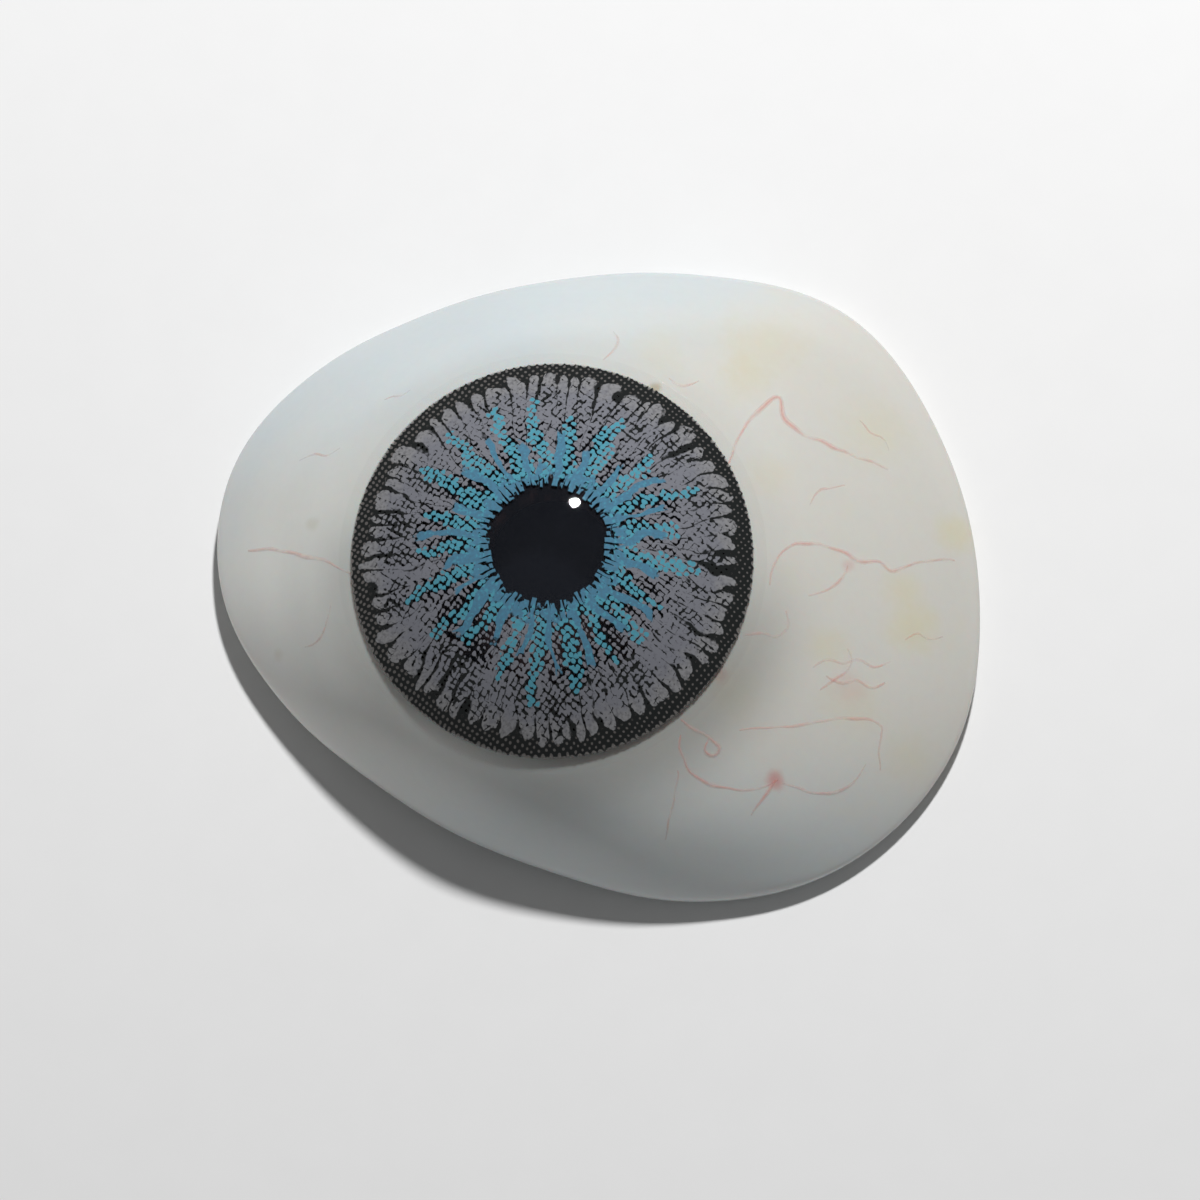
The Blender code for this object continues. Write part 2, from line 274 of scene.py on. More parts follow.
def mixed(tree, share, first, second, blend="MIX"):
    """The colour that is first where share is 0 and second where it is 1."""
    settings = {"data_type": "RGBA", "blend_type": blend}
    return node(tree, "ShaderNodeMix", settings, {0: share, 6: first, 7: second}, output=2)


def vector(tree, x, y, z):
    """Three numbers as a vector or a colour."""
    return node(tree, "ShaderNodeCombineXYZ", {}, {0: x, 1: y, 2: z})


def noise(tree, place, scale, detail=2.0, roughness=0.5):
    """Smooth noise, about 0.5 on average."""
    inputs = {"Vector": place, "Scale": scale, "Detail": detail, "Roughness": roughness}
    return node(tree, "ShaderNodeTexNoise", {"noise_dimensions": "3D"}, inputs)


def chance(tree, number, seed):
    """A random share for each whole number."""
    return node(tree, "ShaderNodeTexWhiteNoise", {"noise_dimensions": "1D"}, {"W": number + seed})


def new_material(name, **values):
    """A material with one Principled shader, and that shader's tree. The values are its constants."""
    material = bpy.data.materials.new(name)
    material.use_nodes = True
    shader = material.node_tree.nodes["Principled BSDF"]
    for socket, value in values.items():
        shader.inputs[socket.replace("_", " ")].default_value = (
            (*value, 1) if isinstance(value, tuple) and len(value) == 3 else value
        )
    return material, material.node_tree


def feed(tree, **values):
    """Links values to the Principled shader's sockets."""
    shader = tree.nodes["Principled BSDF"]
    for socket, value in values.items():
        tree.links.new(value.socket, shader.inputs[socket.replace("_", " ")])


def place_in_millimetres(tree):
    """Distances from the optical axis and above the table, in millimetres."""
    parts = tree.nodes.new("ShaderNodeSeparateXYZ")
    place = node(tree, "ShaderNodeTexCoord", output=3)
    tree.links.new(place.socket, parts.inputs[0])
    x, y, z = (Value(tree, parts.outputs[axis]) for axis in range(3))
    return (x - AXIS_X) / MILLIMETRE, (y - AXIS_Y) / MILLIMETRE, z / MILLIMETRE


class Place:
    """A place given in millimetres from the optical axis."""

    def __init__(self, tree, x, y):
        self.tree = tree
        self.radius = (x * x + y * y).math("SQRT").most(0.01)
        self.turn = y.math("ARCTAN2", x) / math.tau
        self.east = x / self.radius
        self.north = y / self.radius

    def past(self, circle, blur=0.05):
        """1 outside a circle of this radius and 0 inside it, with an edge twice as wide as blur."""
        return self.radius.rising(circle - blur, circle + blur)

    def within(self, circle, blur=0.05):
        """1 inside a circle of this radius and 0 outside it."""
        return 1 - self.past(circle, blur)

    def streaks(self, around, outward, seed):
        """Noise in streaks that run outward, about 0 on average."""
        place = vector(self.tree, self.east * around, self.north * around, self.radius * outward + seed)
        return noise(self.tree, place, 1.0) - 0.5


class BeadNet:
    """A net of beads of ink, as in a printed halftone: square at heart and nowhere quite even."""

    def __init__(self, tree, x, y, pitch, unevenness):
        along, aside = math.cos(NET_TURN), math.sin(NET_TURN)
        self.row = x * (along / pitch) + y * (aside / pitch)
        self.column = y * (along / pitch) - x * (aside / pitch)
        self.place = vector(tree, self.row, self.column, 0.0)
        settings = {"voronoi_dimensions": "2D", "feature": "F1"}
        inputs = {"Vector": self.place, "Scale": 1.0, "Randomness": unevenness}
        self.across = node(tree, "ShaderNodeTexVoronoi", settings, inputs)
        cell = self.across.socket.node
        parts = tree.nodes.new("ShaderNodeSeparateXYZ")
        tree.links.new(cell.outputs["Position"], parts.inputs[0])
        row, column = Value(tree, parts.outputs[0]), Value(tree, parts.outputs[1])
        self.off_row, self.off_column = abs(self.row - row), abs(self.column - column)
        middle_x = row * (along * pitch) - column * (aside * pitch)
        middle_y = row * (aside * pitch) + column * (along * pitch)
        self.middle = Place(tree, middle_x, middle_y)

    def beads(self, reach, stretch):
        """Ink as far as reach from each bead's middle, in cells. Stretched beads join up in lines."""
        return (reach + stretch * (self.off_row - self.off_column) - self.across).rising(-0.06, 0.06)


# Modelling


def select_only(piece):
    """Selects one piece and makes it the active one."""
    bpy.ops.object.select_all(action="DESELECT")
    piece.select_set(True)
    bpy.context.view_layer.objects.active = piece


def copy_of_node(name, piece_name):
    """A loose copy of a CAD node, its triangles merged into one closed skin of four-sided faces."""
    select_only(frame["nodes"][name])
    bpy.ops.object.duplicate()
    piece = bpy.context.active_object
    piece.name = piece.data.name = piece_name
    for key in list(piece.keys()):
        del piece[key]
    bpy.ops.object.parent_clear(type="CLEAR_KEEP_TRANSFORM")
    piece.data.materials.clear()
    bpy.ops.mesh.customdata_custom_splitnormals_clear()
    bpy.ops.object.mode_set(mode="EDIT")
    bpy.ops.mesh.select_all(action="SELECT")
    bpy.ops.mesh.remove_doubles(threshold=MERGE_DISTANCE)
    bpy.ops.mesh.tris_convert_to_quads(face_threshold=math.radians(60), shape_threshold=math.radians(70))
    bpy.ops.object.mode_set(mode="OBJECT")
    return piece


def crease_edges(piece, wanted):
    """Marks the edges to keep sharp: wanted is asked about each edge's two ends."""
    bpy.ops.object.mode_set(mode="EDIT")
    bpy.ops.mesh.select_mode(type="EDGE")
    bpy.ops.mesh.select_all(action="DESELECT")
    bpy.ops.object.mode_set(mode="OBJECT")
    corners = piece.data.vertices
    for edge in piece.data.edges:
        edge.select = wanted(*(corners[end].co for end in edge.vertices))
    bpy.ops.object.mode_set(mode="EDIT")
    bpy.ops.transform.edge_crease(value=1)
    bpy.ops.object.mode_set(mode="OBJECT")


def subdivide(piece, levels):
    """Smooths a piece with subdivision surface and applies it."""
    modifier = piece.modifiers.new("smooth", "SUBSURF")
    modifier.levels = modifier.render_levels = levels
    bpy.ops.object.modifier_apply(modifier=modifier.name)
    bpy.ops.object.shade_smooth()


def camera_frame():
    """The camera's place, its right, up and back directions, and half the width that it sees at 1 m."""
    camera = bpy.context.scene.camera
    turn = camera.matrix_world.to_quaternion()
    ways = [turn @ Vector(way) for way in ((1, 0, 0), (0, 1, 0), (0, 0, 1))]
    return camera.matrix_world.translation.copy(), *ways, math.tan(camera.data.angle / 2)


def place_on(piece, across, down):
    """Where a pixel of the picture falls on a piece, and the surface's normal there."""
    eye, right, up, back, spread = camera_frame()
    half = PICTURE_PIXELS / 2
    ray = right * ((across - half) / half * spread) + up * ((half - down) / half * spread) - back
    hit, place, normal, face = piece.ray_cast(eye, ray.normalized())
    if not hit:
        raise RuntimeError(f"pixel {across}, {down} misses {piece.name}")
    return place, normal


# Settings that a user would change


class StageSettings(bpy.types.PropertyGroup):
    tilt: FloatProperty(
        name="Camera tilt", description="How far the camera leans off the optical axis",
        default=math.radians(12.5), subtype="ANGLE", unit="ROTATION")
    lean: FloatProperty(
        name="Camera side lean", description="Which way the camera leans, from the lower lid's side",
        default=math.radians(15), subtype="ANGLE", unit="ROTATION")
    distance: FloatProperty(
        name="Camera distance", description="From the camera to the lens",
        default=0.50, subtype="DISTANCE", unit="LENGTH")
    width: FloatProperty(
        name="Picture width", description="How much the picture spans at the lens",
        default=0.03853, subtype="DISTANCE", unit="LENGTH")
    lamp_distance: FloatProperty(
        name="Lamp distance", description="From the lamp to the cornea",
        default=0.30, subtype="DISTANCE", unit="LENGTH")
    lamp_radius: FloatProperty(
        name="Lamp radius", description="Half the lamp's width, which sets how soft its shadow is",
        default=0.012, subtype="DISTANCE", unit="LENGTH")
    lamp_power: FloatProperty(
        name="Lamp power", description="Light that the lamp gives", default=3.46, unit="POWER")
    daylight: FloatProperty(
        name="Daylight", description="Even light from all round", default=0.145, min=0, max=1,
        subtype="FACTOR")
    floor_colour: FloatVectorProperty(
        name="Floor", description="The table's colour", default=(0.84, 0.84, 0.84), subtype="COLOR")


class WhiteSettings(bpy.types.PropertyGroup):
    white: FloatVectorProperty(
        name="White", description="The white acrylic", default=(0.67, 0.68, 0.65), subtype="COLOR")
    blue: FloatVectorProperty(
        name="Bluish white", description="Where the white runs thin near the lids",
        default=(0.56, 0.63, 0.66), subtype="COLOR")
    warm: FloatVectorProperty(
        name="Warm white", description="Toward the broad end", default=(0.62, 0.61, 0.565), subtype="COLOR")
    yellow: FloatVectorProperty(
        name="Yellow", description="The yellowed patches", default=(0.63, 0.59, 0.42), subtype="COLOR")
    brown: FloatVectorProperty(
        name="Brown", description="The small spots", default=(0.38, 0.30, 0.15), subtype="COLOR")
    red: FloatVectorProperty(
        name="Red", description="The small red blots", default=(0.58, 0.22, 0.20), subtype="COLOR")


class VeinSettings(bpy.types.PropertyGroup):
    radius: FloatProperty(
        name="Thread radius", description="Half the width of the boldest silk thread",
        default=0.00007, subtype="DISTANCE", unit="LENGTH")
    spread: FloatProperty(
        name="Flush width", description="How many times as wide as its thread a reddened band is",
        default=2.5, min=1)
    bold: FloatVectorProperty(
        name="Bold thread", description="Colour of the bold threads", default=(0.86, 0.36, 0.31),
        subtype="COLOR")
    faint: FloatVectorProperty(
        name="Faint thread", description="Colour of the faint threads", default=(0.86, 0.46, 0.41),
        subtype="COLOR")


class IrisSettings(bpy.types.PropertyGroup):
    brown: FloatVectorProperty(
        name="Iris brown", description="The painted iris under the lens", default=(0.10, 0.035, 0.022),
        subtype="COLOR")
    dark: FloatVectorProperty(
        name="Iris shade", description="Between the iris's fibres", default=(0.020, 0.010, 0.008),
        subtype="COLOR")
    pupil: FloatVectorProperty(
        name="Pupil", description="The painted pupil", default=(0.003, 0.003, 0.004), subtype="COLOR")


class CorneaSettings(bpy.types.PropertyGroup):
    haze: FloatProperty(
        name="Haze", description="How much the clear dome covers what is under it", default=0.35, min=0,
        max=1, subtype="FACTOR")
    roughness: FloatProperty(
        name="Roughness", description="The dome's polish", default=0.015, min=0, max=1, subtype="FACTOR")


class PrintSettings(bpy.types.PropertyGroup):
    grey: FloatVectorProperty(
        name="Grey ink", description="The petals and the ground", default=(0.19, 0.195, 0.222),
        subtype="COLOR")
    black: FloatVectorProperty(
        name="Black ink", description="The ring", default=(0.013, 0.015, 0.015), subtype="COLOR")
    teal: FloatVectorProperty(
        name="Teal ink", description="The long rays", default=(0.080, 0.31, 0.40), subtype="COLOR")
    blue: FloatVectorProperty(
        name="Blue ink", description="The short tongues", default=(0.075, 0.205, 0.31), subtype="COLOR")
    petals: IntProperty(name="Petals", description="Grey petals round the ring", default=64, min=8)
    rays: IntProperty(name="Rays", description="Teal rays, with a blue tongue between each two",
                      default=21, min=5)
    teeth: IntProperty(name="Teeth", description="Blue teeth round the pupil", default=58, min=8)
    dot_pitch: FloatProperty(
        name="Dot pitch", description="Between the dots of the grey and teal inks, in millimetres",
        default=0.183)
    ring_pitch: FloatProperty(
        name="Ring's dot pitch", description="Between the black ring's small holes, in millimetres",
        default=0.176)


# The pieces


class MakeStage(bpy.types.Operator):
    """Makes the table, the lamp, the daylight and the camera"""

    bl_idname = "prosthetic_eye.make_stage"
    bl_label = "Stage"

    def execute(self, context):
        settings = context.scene.eye_stage
        scene = context.scene
        scene.view_settings.view_transform = "Standard"

        # the camera leans off the axis without rolling
        away = Vector((
            math.sin(settings.tilt) * math.sin(settings.lean),
            -math.sin(settings.tilt) * math.cos(settings.lean),
            math.cos(settings.tilt),
        ))
        turn = Vector((0, 0, 1)).rotation_difference(away)
        right, up = turn @ Vector((1, 0, 0)), turn @ Vector((0, 1, 0))
        aim = Vector((AXIS_X, AXIS_Y, LENS_LOW.z)) + right * AIM_RIGHT - up * AIM_DOWN
        bpy.ops.object.select_all(action="DESELECT")
        bpy.ops.object.camera_add(location=aim + away * settings.distance, rotation=turn.to_euler())
        camera = context.active_object
        camera.name = "camera"
        camera.data.angle = 2 * math.atan(settings.width / 2 / settings.distance)
        camera.data.clip_start = 0.01
        scene.camera = camera

        lamp_way = right * LAMP_RIGHT + up * LAMP_UP + away * LAMP_NEAR
        bpy.ops.object.light_add(type="POINT", location=APEX + lamp_way * settings.lamp_distance)
        lamp = context.active_object
        lamp.name = "lamp"
        lamp.data.energy = settings.lamp_power
        lamp.data.shadow_soft_size = settings.lamp_radius

        # the daylight is dim, and the camera sees a bright backdrop
        world = bpy.data.worlds.new("daylight")
        world.use_nodes = True
        tree = world.node_tree
        seen = node(tree, "ShaderNodeLightPath", output=0)
        background = tree.nodes["Background"]
        background.inputs["Color"].default_value = (1, 1, 1, 1)
        strength = settings.daylight + seen * (BACKDROP - settings.daylight)
        tree.links.new(strength.socket, background.inputs["Strength"])
        scene.world = world

        bpy.ops.mesh.primitive_plane_add(size=TABLE_WIDTH)
        floor = context.active_object
        floor.name = "table"
        material, tree = new_material("matt table", Roughness=0.6)
        x, y, z = place_in_millimetres(tree)
        grain = noise(tree, vector(tree, x, y, z), 0.6, detail=4)
        # uneven grain, and painted light: the table is a little lighter toward +y, the side the lamp is on
        shade = 1 + (grain - 0.5) * 0.03 + y.between(-20, 20) * 0.003
        colour = mixed(tree, 1.0, settings.floor_colour[:], vector(tree, shade, shade, shade), "MULTIPLY")
        feed(tree, Base_Color=colour)
        floor.data.materials.append(material)
        return {"FINISHED"}


class MakeWhiteShell(bpy.types.Operator):
    """Smooths the white acrylic shell and gives it its stained white finish, with shade painted beside the
    lens
    """

    bl_idname = "prosthetic_eye.make_white_shell"
    bl_label = "White shell"

    def execute(self, context):
        settings = context.scene.eye_white
        shell = copy_of_node("scleral_shell", "white_shell")
        crease_edges(shell, on_land)
        subdivide(shell, 2)
        shell.data.materials.append(self.material(settings, shell))
        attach(shell, "root")
        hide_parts("scleral_shell")
        return {"FINISHED"}

    def material(self, settings, shell):
        material, tree = new_material(
            "white acrylic", Subsurface_Weight=0.25, Subsurface_Scale=0.0012, IOR=1.49)
        x, y, z = place_in_millimetres(tree)
        place = vector(tree, x, y, z)
        drift = noise(tree, place, 0.22, detail=3) - 0.5
        cloud = noise(tree, place, 0.75, detail=5, roughness=0.6)

        colour = self.ground(tree, settings, x, y, drift)
        haze = (cloud - 0.55).most(0) * x.rising(2, 9) * 1.6
        yellowed = (blots(tree, shell, YELLOW_PATCHES, x, y, cloud) + haze).between(0, 1)
        colour = mixed(tree, yellowed * 0.65, colour, settings.yellow[:])
        browned = blots(tree, shell, BROWN_SPOTS, x, y, cloud).between(0, 1)
        colour = mixed(tree, browned * 0.8, colour, settings.brown[:])
        reddened = blots(tree, shell, RED_SPOTS, x, y, cloud).between(0, 1)
        colour = mixed(tree, reddened * 0.8, colour, settings.red[:])

        mottle = noise(tree, place, 3.0, detail=4, roughness=0.65) * 0.05
        # the white's uneven tone, darkened by painted shade beside the lens
        shade = 0.975 + mottle - self.painted_shading(x, y)
        colour = mixed(tree, 1.0, colour, vector(tree, shade, shade, shade), "MULTIPLY")
        feed(tree, Base_Color=colour, Roughness=0.16 + cloud * 0.12)
        return material

    def ground(self, tree, settings, x, y, drift):
        """White, warmer toward the broad end and bluish toward both lids."""
        broad_end = (x + 6 + drift * 8).rising(1, 16)
        upper_lid = (y - x * 0.35 + drift * 5).rising(4.5, 10)
        lower_lid = (y + drift * 4).falling(-9.5, -4.5)
        colour = mixed(tree, broad_end, settings.white[:], settings.warm[:])
        return mixed(tree, (upper_lid * 0.85).most(lower_lid * 0.6), colour, settings.blue[:])

    def painted_shading(self, x, y):
        """Painted shade near the lens, most below it and on its left, with painted light farther out on the
        left.
        """
        radius = (x * x + y * y).math("SQRT")
        below = toward(LOWER_SHADE, x, y, radius).rising(0.5, 0.98)
        left = toward(LEFT_SHADE, x, y, radius).rising(0.8, 0.98)
        # painted shade beside the lens; the last term is painted light, lighter farther out on the left
        painted_shading = radius.falling(7.0, 9.2) * below * 0.32
        painted_shading = painted_shading + radius.falling(6.7, 8.2) * (left * 0.17 + 0.07)
        return painted_shading - radius.rising(8.0, 9.5) * left * 0.18


def on_land(first, second):
    """Whether an edge lies on the rim's flat land, going by its two ends."""
    return max(first.z, second.z) < LAND_HEIGHT


def toward(bearing, x, y, radius):
    """1 for a place at this bearing from the optical axis, and -1 for one opposite it."""
    return (x * math.cos(bearing) + y * math.sin(bearing)) / radius


def blots(tree, piece, spots, x, y, cloud):
    """Soft uneven blots, each at a pixel of the picture, with its half width and its strength."""
    blotted = 0
    for across, down, width, strength in spots:
        spot, normal = place_on(piece, across, down)
        off_x = x - (spot.x - AXIS_X) / MILLIMETRE
        off_y = y - (spot.y - AXIS_Y) / MILLIMETRE
        away = (off_x * off_x + off_y * off_y).math("SQRT") / width + (cloud - 0.5) * 1.4
        blotted = blotted + away.falling(0.2, 1.3) * strength
    return blotted


class MakeVeins(bpy.types.Operator):
    """Lays the red silk threads in the white"""

    bl_idname = "prosthetic_eye.make_veins"
    bl_label = "Veins"

    def execute(self, context):
        settings = context.scene.eye_veins
        thread = settings.radius
        bold = [vein for vein in VEINS if vein[0] >= BOLD]
        faint = [vein for vein in VEINS if vein[0] < BOLD]
        self.make("bold_veins", bold, thread, settings.bold, cover=0.24)
        self.make("faint_veins", faint, thread * 1.4, settings.faint, cover=0.14)
        self.make("vein_flush", VEINS, thread * settings.spread, settings.faint, cover=0.18)
        return {"FINISHED"}

    def make(self, name, ways, radius, colour, cover):
        """A piece with a thread along each way, which covers this share of the white under it."""
        bpy.ops.object.select_all(action="DESELECT")
        bpy.ops.curve.primitive_nurbs_path_add()
        veins = bpy.context.active_object
        veins.name = veins.data.name = name
        veins.data.splines.clear()
        veins.data.dimensions = "3D"
        veins.data.bevel_depth = radius
        veins.data.bevel_resolution = 1
        veins.data.use_fill_caps = True
        for boldness, way in ways:
            self.lay(veins, boldness, way, radius)
        bpy.ops.object.convert(target="MESH")
        veins = bpy.context.active_object
        bpy.ops.object.shade_smooth()
        veins.data.materials.append(self.material(name, colour, cover))
        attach(veins, "root")

    def lay(self, veins, boldness, way, radius):
        """One thread along a way in pixels, mostly sunk in the white and thinner toward its ends."""
        shell = bpy.data.objects["white_shell"]
        fine = smooth_way(way)
        spline = veins.data.splines.new("POLY")
        spline.points.add(len(fine) - 1)
        for number, (across, down) in enumerate(fine):
            wander = math.sin(number * 0.9 + way[0][0]) * 0.6 + math.sin(number * 0.37) * 0.8
            spot, normal = place_on(shell, across + wander, down - wander * 0.7)
            taper = 0.45 + 0.55 * math.sin(math.pi * number / (len(fine) - 1))
            swell = boldness * taper * (1 + 0.2 * math.sin(number * 0.5))
            point = spline.points[number]
            point.co = (*(spot - normal * radius * swell * SUNK), 1)
            point.radius = swell

    def material(self, name, colour, cover):
        """Thin colour that fades in places along a thread."""
        material, tree = new_material(name.replace("_", " "), Roughness=0.6, Specular_IOR_Level=0.0)
        x, y, z = place_in_millimetres(tree)
        faded = noise(tree, vector(tree, x, y, z), 1.3, detail=3).rising(0.35, 0.7)
        white = bpy.context.scene.eye_white.white
        paint = mixed(tree, faded * 0.5, colour[:], white[:])
        feed(tree, Base_Color=paint, Alpha=(1 - faded * 0.65) * cover)
        return material


def smooth_way(way, step=4.0):
    """A smooth line through the points of a way, with a point every few pixels."""
    line = []
    points = [way[0], *way, way[-1]]
    for before, start, end, after in zip(points, points[1:], points[2:], points[3:]):
        count = max(1, round(math.dist(start, end) / step))
        for number in range(count):
            t = number / count
            line.append(tuple(
                0.5 * (2 * b + (c - a) * t + (2 * a - 5 * b + 4 * c - d) * t * t
                       + (3 * b - a - 3 * c + d) * t * t * t)
                for a, b, c, d in zip(before, start, end, after)
            ))
    line.append(way[-1])
    return line


class FinishIris(bpy.types.Operator):
    """Paints the iris disc and the pupil disc under the clear dome"""

    bl_idname = "prosthetic_eye.finish_iris"
    bl_label = "Iris and pupil"

    def execute(self, context):
        settings = context.scene.eye_iris
        self.paint("iris_disc", self.iris(settings))
        self.paint("pupil_disc", self.pupil(settings))
        return {"FINISHED"}

    def paint(self, name, material):
        """Gives a CAD node this material and no other."""
        materials = frame["nodes"][name].data.materials
        materials.clear()
        materials.append(material)

    def iris(self, settings):
        """Brown paint in fibres that run outward, darker toward its edge."""
        material, tree = new_material("painted iris", Roughness=0.8, Specular_IOR_Level=0.0)
        x, y, z = place_in_millimetres(tree)
        here = Place(tree, x, y)
        around = vector(tree, here.east * 7, here.north * 7, here.radius * 0.5)
        fibres = noise(tree, around, 1.6, detail=5) - 0.5
        rings = noise(tree, vector(tree, here.east, here.north, here.radius * 1.4), 1.0) - 0.5
        lit = (fibres * 2.4 + 0.45 + rings * 0.8).between(0, 1) * here.radius.falling(4.4, 5.7)
        feed(tree, Base_Color=mixed(tree, lit, settings.dark[:], settings.brown[:]))
        return material

    def pupil(self, settings):
        """Black paint with a faint brown cloud."""
        material, tree = new_material("painted pupil", Roughness=1.0, Specular_IOR_Level=0.0)
        x, y, z = place_in_millimetres(tree)
        cloud = noise(tree, vector(tree, x, y, z), 2.5, detail=4).rising(0.45, 0.75)
        feed(tree, Base_Color=mixed(tree, cloud * 0.5, settings.pupil[:], PUPIL_CLOUD))
        return material


class MakeCornea(bpy.types.Operator):
    """Smooths the clear dome and polishes it"""

    bl_idname = "prosthetic_eye.make_cornea"
    bl_label = "Clear dome"

    def execute(self, context):
        settings = context.scene.eye_cornea
        dome = copy_of_node("corneal_button", "clear_dome")
        subdivide(dome, 2)
        material, tree = new_material(
            "clear acrylic", Base_Color=DOME_SHADE, IOR=1.49, Alpha=settings.haze,
            Roughness=settings.roughness)
        dome.data.materials.append(material)
        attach(dome, "root")
        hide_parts("corneal_button")
        return {"FINISHED"}


class MakeLens(bpy.types.Operator):
    """Drapes the clear soft lens and prints its iris on it"""

    bl_idname = "prosthetic_eye.make_lens"
    bl_label = "Printed lens"

    def execute(self, context):
        settings = context.scene.eye_print
        lens = copy_of_node("contact_lens", "printed_lens")
        subdivide(lens, 2)
        flat_map(lens)
        lens.data.materials.append(self.material(settings))
        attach(lens, "root")
        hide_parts("contact_lens", "grey_field", "limbal_ring", "teal_rays", "steel_blue_rays")
        return {"FINISHED"}

    def material(self, settings):
        material, tree = new_material("printed hydrogel", IOR=1.42, Roughness=0.05)
        x, y, z = place_in_millimetres(tree)
        here = Place(tree, x, y)
        flat = vector(tree, x, y, 0.0)
        grain = noise(tree, flat, 3.6, detail=1) - 0.5
        speck = noise(tree, flat, 9.0) - 0.5

        # the nets of beads are bent a little
        bent_x = x + (noise(tree, flat, 0.8) - 0.5) * NET_BEND
        bent_y = y + (noise(tree, vector(tree, y, x, 7.0), 0.8) - 0.5) * NET_BEND
        net = BeadNet(tree, bent_x, bent_y, settings.dot_pitch, GROUND_UNEVENNESS)
        ring_net = BeadNet(tree, bent_x, bent_y, settings.ring_pitch, RING_UNEVENNESS)
        joins = noise(tree, net.place, 1.1, detail=1) - 0.5
        stretch = ((noise(tree, net.place, 0.85, detail=1) - 0.5) * 3.0).between(-0.4, 0.4)
        loose = joins * 0.45 + speck * 0.4

        grey = net.beads(self.grey_cover(net.middle) + loose, stretch)
        grey = grey * self.petals(tree, settings, here, grain, speck)
        grey = grey * (here.radius - GREY_START + grain * 0.5).rising(-0.05, 0.05)
        black = self.ring(here, ring_net, speck)
        teeth, tooth_root = self.teeth(tree, settings, here, grain)
        teal = net.beads(self.ray_cover(tree, settings, net.middle) + loose, stretch * 0.5) * teeth
        teal = teal * (here.radius - TEAL_START + grain * 0.5).rising(0.0, 0.05)
        blue = self.blue_ground(here, grain, speck)
        blue = blue.most(self.tongues(tree, settings, here, grain, speck)) * teeth
        blue = blue * (here.radius - tooth_root).rising(-0.01, 0.03)

        colour = self.colour(tree, settings, here, grain, speck, black, grey, teal, blue)
        inked = grey.most(black).most(blue).most(teal)
        # the veil makes the painted shade in the ring's holes nearly opaque
        veiled = here.past(VEIL_START) * here.within(VEIL_END)
        # the faint cover past the lens's edge shows the painted glint on its rim
        clear = 0.015 + veiled * 0.80 + here.past(LENS_EDGE, 0.02) * 0.08
        feed(tree, Base_Color=colour, Alpha=clear + (1 - clear) * inked)
        return material

    def colour(self, tree, settings, here, grain, speck, black, grey, teal, blue):
        """The inks in the order they are printed in, each a little uneven, and what shows between them:
        painted shade in the ring's holes and a painted glint at the lens's rim.
        """
        fleck = speck + 0.5
        # painted shade in the ring's holes, lighter where the holes widen
        holes = mixed(tree, here.past(6.42, 0.04), HOLES_PAINTED_SHADE, WIDE_HOLES_PAINTED_SHADE)
        colour = mixed(tree, here.past(HOLES_START), BETWEEN_INKS, holes)
        # a painted glint on the lens's rim: a pale tone past this circle
        colour = mixed(tree, here.past(RIM_GLINT_START, 0.03), colour, RIM_PAINTED_GLINT)
        colour = mixed(tree, black, colour, settings.black[:])

        petal_tone = mixed(tree, fleck.rising(0.40, 0.60), *PETAL_GREYS)
        grey_tone = mixed(tree, (here.radius + grain).rising(5.1, 5.9), settings.grey[:], petal_tone)
        grey_tone = mixed(tree, fleck.falling(0.30, 0.48) * 0.5, grey_tone, DARK_GREY)
        colour = mixed(tree, grey, colour, grey_tone)
        teal_tone = mixed(tree, fleck.rising(0.44, 0.62) * 0.5, settings.teal[:], DARK_TEAL)
        colour = mixed(tree, teal, colour, teal_tone)
        blue_tone = mixed(tree, fleck.rising(0.45, 0.65) * 0.6, settings.blue[:], DARK_BLUE)
        flecked = (speck + grain * 0.5).falling(-0.17, -0.05) * 0.7
        blue_tone = mixed(tree, flecked, blue_tone, settings.teal[:])
        return mixed(tree, blue, colour, blue_tone)

    def ring(self, here, net, speck):
        """The black ring, with rows of small holes that widen at its edge until only dots are left."""
        hole = 0.23 - here.east * 0.06 + speck * 0.10 + here.past(HOLES_WIDEN, 0.12) * 0.85
        inside = here.past(BLACK_START) * here.within(BLACK_END, 0.02)
        return (net.across - hole).rising(-0.07, 0.07) * inside

    def petals(self, tree, settings, here, grain, speck):
        """Grey petals all round the ring's inner edge, with a wedge of black between each two."""
        turn = here.turn * settings.petals + here.streaks(around=3.2, outward=0.5, seed=3) * 2.4
        turn = turn + here.streaks(around=9, outward=0.4, seed=13) * 1.1
        petal = turn.math("FLOOR") % settings.petals
        off_petal = abs(turn.math("FRACT") - 0.5)
        top = 5.90 + chance(tree, petal, seed=11.3) * 0.28
        rounding = (off_petal * 2) ** 2.4 * 0.36
        below_top = top - rounding - here.radius + grain * 0.28 + speck * 0.1

        wedge = (turn + 0.5).math("FLOOR") % settings.petals
        off_wedge = 0.5 - off_petal
        tip = 5.45 - chance(tree, wedge, seed=47.7) ** 1.3 * 1.3
        share = ((here.radius - tip) / (WEDGE_BASE - tip)).between(0, 1.4)
        width = share ** 0.8 * (0.13 + chance(tree, wedge, seed=83.1) ** 1.5 * 0.13)
        beside_wedge = (off_wedge - width) * 0.55 + grain * 0.16 + speck * 0.07
        return beside_wedge.least(below_top).rising(-0.02, 0.03)

    def grey_cover(self, middle):
        """How far the grey ground's beads run together: it is thin in dark streaks that run outward."""
        broad = middle.streaks(around=4.6, outward=0.32, seed=21) * 0.8
        fine = middle.streaks(around=11, outward=0.7, seed=29) * 0.95
        outer = middle.radius.rising(2.6, 5.2) * 0.12 + middle.radius.rising(5.2, 5.7) * 0.12
        return outer + (0.42 - (broad + fine))

